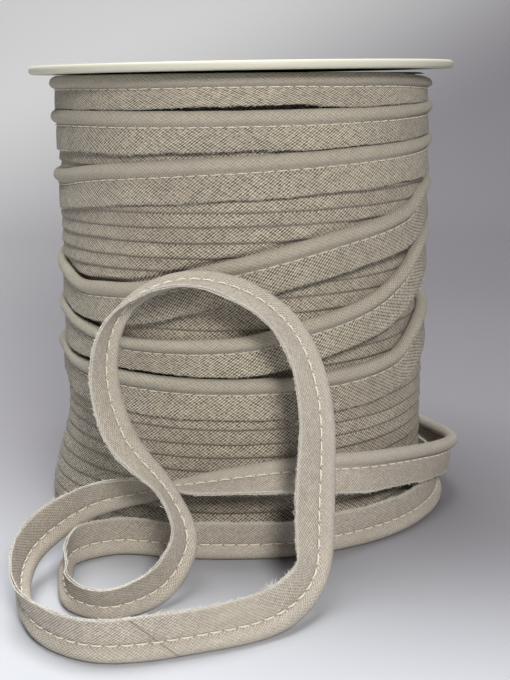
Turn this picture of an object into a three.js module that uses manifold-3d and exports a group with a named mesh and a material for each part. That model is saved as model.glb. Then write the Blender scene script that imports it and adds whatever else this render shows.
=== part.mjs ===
// A roll of flanged piping standing upright: a thin round disc on top, the wound piping below it, and
// the loose end looped in front. Millimetres, +Z up, origin at the middle of the flat base, with -Y
// towards the loose end. Angles round the roll are in degrees from -Y, growing towards +X.
import * as THREE from "three";
import { mergeVertices } from "three/addons/utils/BufferGeometryUtils.js";
import Module from "manifold-3d";

// The piping: a cord wrapped in a folded bias strip, sewn beside the cord
const TAPE_WIDTH = 12.7;
const BEAD_RADIUS = 2.2;
const FLANGE_THICKNESS = 1.0;
const SEAM_BELOW_TOP = 4.85;

// The wound roll
const ROLL_HEIGHT = 147.1;
const GROUND_RADIUS = 61.6;
const SHINGLE_STEP = 0.7;
const SHINGLE_PITCH = 4.5;
const ROUND_STEPS = 40;

// The top disc
const DISC_RADIUS = 70.7;
const DISC_THICKNESS = 2.6;
const DISC_EDGE_RADIUS = 1.1;
const DISC_BOTTOM = 147.85;
const DISC_TILT = 0.35;
const DISC_STEPS = 64;

// The lowest turns spread outwards at the left and behind
const SPREAD = { reach: 5.5, angle: -115, width: 45, from: 14, to: 30 };

// Heights between which the close turns below show as shingled strips
const SHINGLED = [
  { bottom: 0, top: 45 },
  { bottom: 87, top: 108 },
];

// The outer turns of piping as one helix: the height of the bead's top at each angle of winding
const OUTER_TURNS = [
  { angle: -100, top: 57.2 }, { angle: -82, top: 58.2 }, { angle: -75, top: 58.5 },
  { angle: -60, top: 57.0 }, { angle: -38, top: 57.0 }, { angle: -21, top: 56.9 },
  { angle: 3, top: 57.0 }, { angle: 29, top: 57.9 }, { angle: 43, top: 59.0 },
  { angle: 53, top: 60.7 }, { angle: 63, top: 65.5 }, { angle: 72, top: 69.0 },
  { angle: 100, top: 73.5 }, { angle: 180, top: 76.5 }, { angle: 250, top: 75.5 },
  { angle: 290, top: 72.8 }, { angle: 300, top: 70.8 }, { angle: 313, top: 70.0 },
  { angle: 333, top: 69.6 }, { angle: 348, top: 69.8 }, { angle: 360, top: 71.6 },
  { angle: 376, top: 74.1 }, { angle: 399, top: 79.7 }, { angle: 416, top: 87.1 },
  { angle: 430, top: 95.0 }, { angle: 460, top: 99.5 }, { angle: 540, top: 98.0 },
  { angle: 620, top: 90.5 }, { angle: 650, top: 86.5 }, { angle: 663, top: 83.7 },
  { angle: 673, top: 84.3 }, { angle: 690, top: 85.9 }, { angle: 705, top: 90.3 },
  { angle: 723, top: 95.0 }, { angle: 746, top: 100.6 }, { angle: 777, top: 106.3 },
  { angle: 790, top: 111.5 }, { angle: 830, top: 116.5 }, { angle: 900, top: 117.5 },
  { angle: 970, top: 117.3 }, { angle: 1010, top: 117.7 }, { angle: 1034, top: 120.5 },
  { angle: 1062, top: 122.7 }, { angle: 1098, top: 124.7 }, { angle: 1155, top: 127.5 },
  { angle: 1260, top: 133.0 }, { angle: 1372, top: 136.6 }, { angle: 1440, top: 136.6 },
  { angle: 1515, top: 138.0 }, { angle: 1620, top: 143.0 }, { angle: 1730, top: 147.1 },
  { angle: 1840, top: 147.1 }, { angle: 1870, top: 145.8 }, { angle: 1900, top: 144.0 },
];
const TURN_STEP = 12;
const TURN_GAP = 0.4;
const TAIL_GAP = 0.5;

// How far an outer turn stands out from the close turns, and how deep its root reaches into them
const TURN_OUT = { bead: 2.7, neck: 1.2, raw: 1.8, root: 1.2 };

// The first turn lifts off the roll where the loose end leaves it, and the last one dives under
const LIFT = { reach: 3.5, from: -100, to: -78 };
const DIVE = { depth: 3.4, from: 1860, to: 1890 };

// The loose end: the middle of the bead at each point, then the way from there to the raw edge
const TAIL_ROUTE = [
  [-64.6, 11.4, 55, 0, 0, -1],
  [-58.1, 30.9, 54.3, -0.1, 0, -1],
  [-33.3, 57.7, 39, -0.5, 0.87, -0.2],
  [8.2, 66.5, 17, 0.05, 0.6, 0.8],
  [45.7, 49, 4.4, 0, 0.1, 1],
  [65.7, 14, 2.5, 0, 0, 1],
  [66.3, -19, 2.5, 0, 0, 1],
  [49, -47, 2.5, 0, -0.05, 1],
  [17, -64, 2.5, 0, -0.15, 1],
  [-17, -65, 2.5, 0, -0.2, 1],
  [-41, -61, 2.5, 0.05, -0.15, 1],
  [-53.5, -69.5, 2.8, 0.2, 0, 1],
  [-53.5, -84, 2.6, 0.05, -0.05, 1],
  [-49, -99, 2.5, 0.1, -0.4, 0.9],
  [-37, -104.5, 2.6, -0.2, -0.5, 0.85],
  [-23, -95.5, 4.5, -0.35, -0.5, 0.8],
  [-16.5, -84, 14, -0.45, -0.75, 0.5],
  [-22, -77, 26, -0.25, -0.95, 0.25],
  [-35, -72.5, 44, -0.5, -0.85, 0.05],
  [-39.5, -69.5, 65, -0.45, -0.9, 0],
  [-34, -68, 81, -0.3, -0.95, 0],
  [-18.5, -68.5, 89, -0.05, -1, 0],
  [0, -69, 86.5, 0.05, -0.95, -0.3],
  [15, -71, 75, -0.4, -0.85, -0.25],
  [22.5, -77.5, 57, -0.7, -0.7, 0],
  [23, -89, 28, -0.85, -0.5, 0],
  [20, -100.5, 9, -0.45, -0.1, 0.9],
  [9.5, -113, 3.2, -0.2, 0.1, 1],
  [-12, -123, 2.5, -0.2, -0.1, 1],
  [-38, -127.5, 2.5, -0.35, -0.1, 0.95],
  [-54.5, -117, 2.7, -0.35, 0.1, 0.95],
  [-63, -98, 5.5, -0.3, -0.1, 0.95],
  [-62.5, -77.5, 8.5, -0.2, 0, 1],
  [-48.5, -62.5, 15, -0.05, -0.3, 0.95],
  [-30.5, -61.5, 20, 0.1, -0.6, 0.8],
  [-10, -66.5, 27, 0, -1, -0.1],
  [15, -65.5, 30.7, 0, -0.85, -0.55],
  [44.6, -52, 28.5, 0.05, -0.1, -1],
  [72.2, -15, 21, -0.1, 0, -1],
  [67, 31, 15, 0, 0, -1],
];
const TAIL_STEPS_BETWEEN = 2;

const PIPING_CLOTH = new THREE.MeshStandardMaterial({ color: 0xb0a589, roughness: 0.9, metalness: 0 });
const TAIL_CLOTH = new THREE.MeshStandardMaterial({ color: 0xd6ccb0, roughness: 0.9, metalness: 0 });
const DISC_BOARD = new THREE.MeshStandardMaterial({ color: 0xe9e7d8, roughness: 0.55, metalness: 0 });

const wasm = await Module();
wasm.setup();

function smoothStep(value, from, to) {
  const share = THREE.MathUtils.clamp((value - from) / (to - from), 0, 1);
  return share * share * (3 - 2 * share);
}

// A point at an angle round the roll, a radius and a height
function around(angle, radius, height) {
  const turn = THREE.MathUtils.degToRad(angle);
  return new THREE.Vector3(radius * Math.sin(turn), -radius * Math.cos(turn), height);
}

// How far the lowest turns spread past the ground of the roll
function spreadAt(angle, height) {
  const away = THREE.MathUtils.euclideanModulo(angle - SPREAD.angle + 180, 360) - 180;
  const side = Math.exp(-((away / SPREAD.width) ** 2));
  return SPREAD.reach * side * (1 - smoothStep(height, SPREAD.from, SPREAD.to));
}

// A solid of revolution about +Z from a profile that starts and ends on the axis, bottom first
function turned(profile, steps) {
  const points = profile.map(([radius, height]) => new THREE.Vector2(radius, height));
  return new THREE.LatheGeometry(points, steps).rotateX(Math.PI / 2);
}

// A straight extrusion of a section whose every vertex is then laid where place says
function laidAlong(section, steps, place) {
  const solid = new THREE.ExtrudeGeometry(section, { depth: steps, steps, bevelEnabled: false });
  const position = solid.attributes.position;
  for (let i = 0; i < position.count; i += 1) {
    const laid = place(position.getX(i), position.getY(i), position.getZ(i));
    position.setXYZ(i, laid.x, laid.y, laid.z);
  }
  return solid;
}

function toManifold(geometry) {
  const bare = geometry.clone();
  bare.deleteAttribute("normal");
  bare.deleteAttribute("uv");
  const merged = mergeVertices(bare, 1e-4);
  const corners = merged.index.array;
  const triangles = [];
  for (let i = 0; i < corners.length; i += 3) {
    const [a, b, c] = [corners[i], corners[i + 1], corners[i + 2]];
    if (a !== b && b !== c && c !== a) {
      triangles.push(a, b, c);
    }
  }
  return new wasm.Manifold(new wasm.Mesh({
    numProp: 3,
    vertProperties: new Float32Array(merged.attributes.position.array),
    triVerts: new Uint32Array(triangles),
  }));
}

function fromManifold(solid) {
  const mesh = solid.getMesh();
  const geometry = new THREE.BufferGeometry();
  geometry.setAttribute("position", new THREE.BufferAttribute(mesh.vertProperties, 3));
  geometry.setIndex(new THREE.BufferAttribute(mesh.triVerts, 1));
  geometry.computeVertexNormals();
  return geometry;
}

// The profile of the close turns: shingled strips where they show, straight behind the outer turns
function groundProfile() {
  const profile = [[0, 0]];
  for (const { bottom, top } of SHINGLED) {
    const count = Math.round((top - bottom) / SHINGLE_PITCH);
    const pitch = (top - bottom) / count;
    for (let i = 0; i < count; i += 1) {
      const edge = bottom + i * pitch;
      if (edge > 0) {
        profile.push([GROUND_RADIUS, edge]);
      }
      profile.push([GROUND_RADIUS + SHINGLE_STEP, edge]);
    }
    profile.push([GROUND_RADIUS, top]);
  }
  profile.push([GROUND_RADIUS, ROLL_HEIGHT], [0, ROLL_HEIGHT]);
  return profile;
}

function closeTurns() {
  const body = turned(groundProfile(), ROUND_STEPS);
  const position = body.attributes.position;
  for (let i = 0; i < position.count; i += 1) {
    const [x, y, z] = [position.getX(i), position.getY(i), position.getZ(i)];
    const radius = Math.hypot(x, y);
    if (radius > 0) {
      const angle = THREE.MathUtils.radToDeg(Math.atan2(x, -y));
      const spread = (radius + spreadAt(angle, z)) / radius;
      position.setXY(i, x * spread, y * spread);
    }
  }
  return body;
}

// The height of the bead's top at any angle of winding, smooth through the table's rows
function turnTop(angle) {
  const rows = OUTER_TURNS;
  const last = rows.length - 1;
  const at = rows.findIndex((row) => row.angle >= angle);
  const high = at < 0 ? last : Math.max(at, 1);
  const low = high - 1;
  const slope = (i) => {
    const before = rows[Math.max(i - 1, 0)];
    const after = rows[Math.min(i + 1, last)];
    return (after.top - before.top) / (after.angle - before.angle);
  };
  const span = rows[high].angle - rows[low].angle;
  const s = (angle - rows[low].angle) / span;
  const rise = rows[high].top - rows[low].top;
  const early = slope(low) * span;
  const late = slope(high) * span;
  const height = rows[low].top + s * early + s * s * (3 * rise - 2 * early - late)
    + s ** 3 * (early + late - 2 * rise);
  return Math.min(height, ROLL_HEIGHT);
}

// How far the raw edge hangs below the bead's top: the tape's width, or less over the turn below
function rawDrop(angle) {
  const first = OUTER_TURNS[0].angle;
  if (angle < first + 360) {
    return TAPE_WIDTH;
  }
  return Math.min(TAPE_WIDTH, turnTop(angle) - turnTop(angle - 360) - TURN_GAP);
}

// Half of the tape, from the bead down to the raw edge, rooted in the close turns behind it
function turnSection() {
  const { bead, neck, raw, root } = TURN_OUT;
  const section = [new THREE.Vector2(-root, 0)];
  for (const degrees of [0, 40, 75, 105, 140]) {
    const turn = THREE.MathUtils.degToRad(degrees);
    const out = bead - BEAD_RADIUS * (1 - Math.sin(turn));
    section.push(new THREE.Vector2(out, BEAD_RADIUS * (1 - Math.cos(turn))));
  }
  section.push(
    new THREE.Vector2(neck, SEAM_BELOW_TOP),
    new THREE.Vector2(raw, TAPE_WIDTH),
    new THREE.Vector2(-root, TAPE_WIDTH),
  );
  return new THREE.Shape(section);
}

function outerTurns() {
  const start = OUTER_TURNS[0].angle + THREE.MathUtils.radToDeg(TAIL_GAP / GROUND_RADIUS);
  const end = OUTER_TURNS[OUTER_TURNS.length - 1].angle;
  const steps = Math.round((end - start) / TURN_STEP);
  return laidAlong(turnSection(), steps, (out, drop, step) => {
    const angle = start + (end - start) * (step / steps);
    const off = LIFT.reach * (1 - smoothStep(angle, LIFT.from, LIFT.to))
      - DIVE.depth * smoothStep(angle, DIVE.from, DIVE.to);
    const fall = drop * (rawDrop(angle) / TAPE_WIDTH);
    return around(angle, GROUND_RADIUS + off + out, turnTop(angle) - fall);
  });
}

function woundRoll() {
  return fromManifold(toManifold(closeTurns()).add(toManifold(outerTurns())));
}

function topDisc() {
  const roundedEdge = (middle, start) => [0, 45, 90].map((degrees) => {
    const turn = THREE.MathUtils.degToRad(start + degrees);
    const inset = DISC_EDGE_RADIUS * (1 - Math.cos(turn));
    return [DISC_RADIUS - inset, middle + DISC_EDGE_RADIUS * Math.sin(turn)];
  });
  const lower = roundedEdge(DISC_EDGE_RADIUS, -90);
  const upper = roundedEdge(DISC_THICKNESS - DISC_EDGE_RADIUS, 0);
  return turned([[0, 0], ...lower, ...upper, [0, DISC_THICKNESS]], DISC_STEPS);
}

// The whole tape's section: the bead round the cord, and the flange out to the raw edge
function tapeSection() {
  const half = FLANGE_THICKNESS / 2;
  const raw = TAPE_WIDTH - BEAD_RADIUS;
  const neck = Math.sqrt(BEAD_RADIUS ** 2 - half ** 2);
  const section = [
    new THREE.Vector2(half, neck),
    new THREE.Vector2(half, raw),
    new THREE.Vector2(-half, raw),
    new THREE.Vector2(-half, neck),
  ];
  for (const degrees of [-55, -100, -150, 150, 100, 55]) {
    const turn = THREE.MathUtils.degToRad(degrees);
    section.push(new THREE.Vector2(BEAD_RADIUS * Math.sin(turn), BEAD_RADIUS * Math.cos(turn)));
  }
  return new THREE.Shape(section);
}

function looseTail() {
  const beads = new THREE.CatmullRomCurve3(TAIL_ROUTE.map(([x, y, z]) => new THREE.Vector3(x, y, z)));
  const ways = new THREE.CatmullRomCurve3(TAIL_ROUTE.map((row) => new THREE.Vector3(...row.slice(3))));
  const steps = TAIL_STEPS_BETWEEN * (TAIL_ROUTE.length - 1);
  return laidAlong(tapeSection(), steps, (out, across, step) => {
    const share = step / steps;
    const along = beads.getTangent(share);
    const way = ways.getPoint(share);
    way.addScaledVector(along, -way.dot(along)).normalize();
    const side = new THREE.Vector3().crossVectors(way, along);
    return beads.getPoint(share).addScaledVector(side, out).addScaledVector(way, across);
  });
}

function named(name, geometry, material) {
  const mesh = new THREE.Mesh(geometry, material);
  mesh.name = name;
  return mesh;
}

const flange = named("top_flange", topDisc(), DISC_BOARD);
flange.position.z = DISC_BOTTOM;
flange.rotation.y = THREE.MathUtils.degToRad(-DISC_TILT);

const roll = new THREE.Group();
roll.add(flange);
roll.add(named("wound_roll", woundRoll(), PIPING_CLOTH));
roll.add(named("loose_tail", looseTail(), TAIL_CLOTH));

export default roll;
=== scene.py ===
"""Looks of a roll of flanged piping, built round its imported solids.

The piping is a cord wrapped in a folded bias strip and sewn beside the cord: the bead. The two
layers of the strip run on from the stitches to the raw edge: the flange. It is wound in close,
shingled turns, then in six loose outer turns, and its loose end lies looped in front.

Sizes are in millimetres, in the frame of the solids: +Z up, the origin at the middle of the base
and -Y towards the loose end. Angles round the roll are in degrees from -Y, growing towards +X.
"""
import logging
import math
from dataclasses import dataclass, field
from enum import Enum
from typing import Mapping, Optional, Sequence, Union

import bpy
import numpy as np
from mathutils import Matrix, Vector


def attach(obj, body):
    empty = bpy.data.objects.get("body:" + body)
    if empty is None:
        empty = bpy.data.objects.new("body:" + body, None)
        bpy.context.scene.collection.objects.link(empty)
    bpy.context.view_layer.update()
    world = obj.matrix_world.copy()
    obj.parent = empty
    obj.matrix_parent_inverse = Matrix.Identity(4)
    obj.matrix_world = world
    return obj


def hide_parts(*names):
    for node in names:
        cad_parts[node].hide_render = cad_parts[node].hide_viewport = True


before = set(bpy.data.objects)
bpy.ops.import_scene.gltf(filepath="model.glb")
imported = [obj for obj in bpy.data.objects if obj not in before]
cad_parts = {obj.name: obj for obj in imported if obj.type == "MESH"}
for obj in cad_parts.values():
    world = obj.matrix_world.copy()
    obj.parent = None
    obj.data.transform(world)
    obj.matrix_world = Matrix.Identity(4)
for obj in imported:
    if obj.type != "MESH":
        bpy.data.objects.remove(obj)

MM = 0.001
FULL_TURN = 360.0
HALF_TURN = 180.0
ROLL_HEIGHT = 147.1
BODY = "root"
CLOTH_MAP = "Cloth"

LOG = logging.getLogger("piping_roll")
Socket = Union[bpy.types.NodeSocket, float, Sequence[float]]
Colour = tuple[float, float, float]


def smooth_step(value: np.ndarray, start: float, end: float) -> np.ndarray:
    """The numbers eased from 0 at start to 1 at end."""
    share = np.clip((np.asarray(value, float) - start) / (end - start), 0.0, 1.0)
    return share * share * (3.0 - 2.0 * share)


def unit(vectors: np.ndarray) -> np.ndarray:
    """Vectors of length 1 along the given ones."""
    return vectors / np.maximum(np.linalg.norm(vectors, axis=-1, keepdims=True), 1e-9)


def around(angle: np.ndarray, radius: np.ndarray, height: np.ndarray) -> np.ndarray:
    """Points at degrees round the roll, distances from its axis, and heights above its base."""
    turn = np.radians(angle)
    return np.stack(np.broadcast_arrays(radius * np.sin(turn), -radius * np.cos(turn), height), -1)


def outward(angle: np.ndarray) -> np.ndarray:
    """Directions away from the roll's axis at angles round it."""
    return around(angle, 1.0, 0.0)


def turned_from(angle: np.ndarray, middle: float) -> np.ndarray:
    """How far angles are from a middle one, between -180 and 180 degrees."""
    return np.mod(angle - middle + HALF_TURN, FULL_TURN) - HALF_TURN


def hump(value: np.ndarray, width: float) -> np.ndarray:
    """A bell curve, 1 at 0 and near 0 from twice the width on."""
    return np.exp(-((value / width) ** 2))


def scaled(colour: Colour, share: float) -> Colour:
    """The colour made darker or lighter, up to white."""
    return tuple(min(c * share, 1.0) for c in colour)


def wander(length: np.ndarray, size: float, scale: float, seed: int) -> np.ndarray:
    """A smooth random wave along a length.

    Args:
        length: Places along the length.
        size: About how far the wave reaches either way.
        scale: The length of its main wave.
        seed: Which wave.

    Returns:
        The wave's offset at each place.
    """
    draw = np.random.default_rng(seed)
    wave = np.zeros_like(np.asarray(length, float))
    for share, pace in ((0.55, 1.0), (0.3, 2.3), (0.15, 5.1)):
        phase, stretch = draw.uniform(0, 2 * math.pi), draw.uniform(0.85, 1.15)
        wave += share * np.sin(2 * math.pi * pace * stretch * length / scale + phase)
    return size * wave


def row_curve(rows: np.ndarray, shares: np.ndarray) -> np.ndarray:
    """A centripetal Catmull-Rom curve through rows of numbers, as the solids' routes have.

    Args:
        rows: The points that the curve passes through.
        shares: Places along the curve, from 0 to the count of its stretches.

    Returns:
        The curve's points.
    """
    ends = np.vstack([2 * rows[0] - rows[1], rows, 2 * rows[-1] - rows[-2]])
    low = np.clip(np.floor(shares).astype(int), 0, len(rows) - 2)
    part = (shares - low)[:, None]
    before, start, end, after = (ends[low + i] for i in range(4))

    def pace(a: np.ndarray, b: np.ndarray) -> np.ndarray:
        """The square root of the distance from a to b."""
        return np.maximum(np.sqrt(np.linalg.norm(a - b, axis=1, keepdims=True)), 1e-4)

    t0, t1, t2 = pace(before, start), pace(start, end), pace(end, after)
    leave = ((start - before) / t0 - (end - before) / (t0 + t1) + (end - start) / t1) * t1
    arrive = ((end - start) / t1 - (after - start) / (t1 + t2) + (after - end) / t2) * t1
    square = -3 * start + 3 * end - 2 * leave - arrive
    cube = 2 * start - 2 * end + leave + arrive
    return start + leave * part + square * part ** 2 + cube * part ** 3


def linked(name: str, data: bpy.types.ID) -> bpy.types.Object:
    """A new object in the scene.

    Args:
        name: The object's name.
        data: Its mesh, camera or light.

    Returns:
        The object.
    """
    made = bpy.data.objects.new(name, data)
    bpy.context.scene.collection.objects.link(made)
    return made


def grid_object(name: str, rings: np.ndarray, cloth: Optional[np.ndarray] = None,
                closed: bool = False, capped: bool = False, crease: float = 50.0) -> bpy.types.Object:
    """A mesh of rings of points, each joined to the next.

    Args:
        name: The object's name.
        rings: Points in millimetres, as rings by points by 3.
        cloth: The place of each point on the flat cloth, in millimetres, as rings by points by 2.
        closed: Whether each ring's last point joins its first.
        capped: Whether the first and last rings are filled.
        crease: Edges sharper than this many degrees stay sharp.

    Returns:
        The object, linked to the scene.
    """
    count, size = rings.shape[:2]
    index = np.arange(count * size).reshape(count, size)
    here = index if closed else index[:, :-1]
    beside = np.roll(index, -1, axis=1) if closed else index[:, 1:]
    faces = np.stack([here[:-1], here[1:], beside[1:], beside[:-1]], -1).reshape(-1, 4).tolist()
    if capped:
        faces.append(index[0].tolist())
        faces.append(index[-1][::-1].tolist())
    mesh = bpy.data.meshes.new(name)
    mesh.from_pydata((rings.reshape(-1, 3) * MM).tolist(), [], faces)
    if cloth is not None:
        corners = np.empty(len(mesh.loops), dtype=np.int32)
        mesh.loops.foreach_get("vertex_index", corners)
        layer = mesh.uv_layers.new(name=CLOTH_MAP)
        layer.data.foreach_set("uv", cloth.reshape(-1, 2)[corners].ravel())
    mesh.shade_smooth()
    mesh.set_sharp_from_angle(angle=math.radians(crease))
    mesh.validate()
    return linked(name, mesh)


def strands_object(name: str, lines: np.ndarray, widths: np.ndarray, sides: int) -> bpy.types.Object:
    """Many short strands joined in one mesh.

    Args:
        name: The object's name.
        lines: The middle line of each strand, as strands by points by 3, in millimetres.
        widths: The radius at each point, as strands by points.
        sides: How many sides a strand has.

    Returns:
        The object, linked to the scene.
    """
    count, steps = lines.shape[:2]
    along = unit(np.gradient(lines, axis=1))
    helper = np.where(np.abs(along[..., 2:]) > 0.9, [1.0, 0.0, 0.0], [0.0, 0.0, 1.0])
    first = unit(np.cross(along, helper))
    second = np.cross(along, first)
    turn = np.arange(sides) * (2 * math.pi / sides)
    ring = (first[:, :, None] * np.cos(turn)[:, None] + second[:, :, None] * np.sin(turn)[:, None])
    points = lines[:, :, None] + ring * widths[:, :, None, None]
    index = np.arange(count * steps * sides).reshape(count, steps, sides)
    beside = np.roll(index, -1, axis=2)
    walls = np.stack([index[:, :-1], beside[:, :-1], beside[:, 1:], index[:, 1:]], -1)
    faces = walls.reshape(-1, 4).tolist()
    faces += index[:, 0, ::-1].reshape(-1, sides).tolist()
    faces += index[:, -1].reshape(-1, sides).tolist()
    mesh = bpy.data.meshes.new(name)
    mesh.from_pydata((points.reshape(-1, 3) * MM).tolist(), [], faces)
    mesh.shade_smooth()
    return linked(name, mesh)


@dataclass(frozen=True)
class ProductCamera:
    """A camera at the photograph's viewing angle.

    The focal length is in pixels of the photograph's width. The other fields are its place in
    millimetres and its turns in degrees: down, towards +X, and about its own axis.
    """

    image_width: float = 510.0
    focal: float = 1100.0
    sensor: float = 36.0
    place: tuple[float, float, float] = (0.0, -383.4, 144.5)
    pitch: float = 13.2
    yaw: float = 0.555
    roll: float = 0.588

    def build(self) -> None:
        """Makes the camera and sets it as the scene's."""
        data = bpy.data.cameras.new("product_camera")
        data.sensor_fit = "HORIZONTAL"
        data.sensor_width = self.sensor
        data.lens = self.focal / self.image_width * self.sensor
        data.clip_start = 0.01
        pitch, yaw, roll = (math.radians(a) for a in (self.pitch, self.yaw, self.roll))
        ahead = Vector((math.cos(pitch) * math.sin(yaw), math.cos(pitch) * math.cos(yaw),
                        -math.sin(pitch)))
        level = Vector((math.cos(yaw), -math.sin(yaw), 0.0))
        down = ahead.cross(level)
        right = math.cos(roll) * level + math.sin(roll) * down
        up = math.sin(roll) * level - math.cos(roll) * down
        camera = linked("product_camera", data)
        turned = Matrix((right, up, -ahead)).transposed().to_4x4()
        camera.matrix_world = Matrix.Translation(Vector(self.place) * MM) @ turned
        bpy.context.scene.camera = camera


@dataclass(frozen=True)
class Piping:
    """The section of the piping.

    Distances across it are counted from the middle of the bead towards the raw edge.
    """

    width: float = 12.7
    bead_radius: float = 2.2
    cloth: float = 0.33
    neck_angle: float = 17.0
    seam: float = 2.85
    seam_pinch: float = 0.2
    stitch_pitch: float = 3.9
    stitch_length: float = 3.35
    thread_radius: float = 0.24
    plump: float = 0.16
    plump_skew: float = 0.7
    pinch_width: float = 0.5
    stiffness: float = 1.3

    @property
    def raw(self) -> float:
        """From the middle of the bead to the raw edge."""
        return self.width - self.bead_radius

    @property
    def middle(self) -> float:
        """From the middle of the bead to the middle of the piping's width."""
        return self.width / 2 - self.bead_radius

    @property
    def strip(self) -> float:
        """The flat strip's width, from one raw edge over the bead to the other."""
        bend = self.bead_radius * math.radians(FULL_TURN - 2 * self.neck_angle)
        return 2 * (self.raw - self.bead_radius) + bend

    def past_seam(self, across: np.ndarray) -> np.ndarray:
        """The share of the way from the stitches to the raw edge."""
        return np.clip((across - self.seam) / (self.raw - self.seam), 0.0, 1.0)

    def freedom(self, across: np.ndarray) -> np.ndarray:
        """How freely a layer can lift, from 0 at the stitches to 1 at the raw edge."""
        return self.past_seam(across) ** self.stiffness

    def layer(self, across: np.ndarray) -> np.ndarray:
        """How far a layer's outer face is from the middle plane while the layers lie together."""
        pinch = self.seam_pinch * hump(across - self.seam, self.pinch_width)
        return self.cloth + self.plump * np.sin(math.pi * self.past_seam(across) ** self.plump_skew) - pinch


@dataclass(frozen=True)
class Hang:
    """How loosely the two layers of the flange lie along a run.

    The opening is how far each layer's raw edge stands from the middle plane, the ripple is how
    far the whole flange waves, and the unevenness is how far a raw edge wanders.
    """

    opening: tuple[float, float] = (0.25, 0.25)
    ripple: float = 0.35
    ripple_length: float = 46.0
    unevenness: float = 0.22
    seed: int = 1


class Run:
    """A stretch of piping: where its bead lies, which way the raw edge is, and its face.

    Attributes:
        length: The distance along the run of each place.
        bead: The middle of the bead there.
        across: The direction from the bead to the raw edge.
        face: The direction that the first layer faces.
        reach: The share of the flange's width that shows before it is tucked in.
    """

    def __init__(self, bead: np.ndarray, across: np.ndarray, middle: float,
                 reach: Optional[np.ndarray] = None) -> None:
        """Squares the directions up and measures the run along the middle of its width.

        Args:
            bead: The middle of the bead at each place.
            across: Roughly the way to the raw edge.
            middle: How far from the bead the middle of the width is.
            reach: The share of the flange's width at each place.
        """
        along = unit(np.gradient(bead, axis=0))
        self.across = unit(across - along * np.sum(across * along, axis=1, keepdims=True))
        self.face = np.cross(self.across, along)
        self.bead = bead
        self.middle_line = bead + self.across * middle
        steps = np.linalg.norm(np.diff(self.middle_line, axis=0), axis=1)
        self.length = np.concatenate([[0.0], np.cumsum(steps)])
        self.reach = np.ones(len(bead)) if reach is None else reach

    @property
    def total(self) -> float:
        """The length of the run."""
        return float(self.length[-1])

    def spaced(self, step: float) -> "Run":
        """The same run with places a step apart."""
        count = int(round(self.total / step))
        places = np.linspace(0.0, self.total, count + 1)
        run = Run.__new__(Run)
        for name in ("bead", "across", "face", "middle_line"):
            values = getattr(self, name)
            setattr(run, name, np.stack([np.interp(places, self.length, c) for c in values.T], 1))
        run.across, run.face = unit(run.across), unit(run.face)
        run.reach = np.interp(places, self.length, self.reach)
        run.length = places
        return run

    def place(self, at: np.ndarray, across: np.ndarray, out: np.ndarray) -> np.ndarray:
        """Points on the piping.

        Args:
            at: Distances along the run.
            across: Distances from the bead towards the raw edge.
            out: Distances from the middle plane towards the first layer's side.

        Returns:
            The points.
        """
        def read(values: np.ndarray) -> np.ndarray:
            """The values at those distances along the run."""
            return np.stack([np.interp(at, self.length, column) for column in values.T], -1)

        reach = np.where(across > 0, np.interp(at, self.length, self.reach), 1.0)
        return read(self.bead) + read(self.across) * (across * reach)[..., None] \
            + read(self.face) * np.asarray(out)[..., None]


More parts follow.
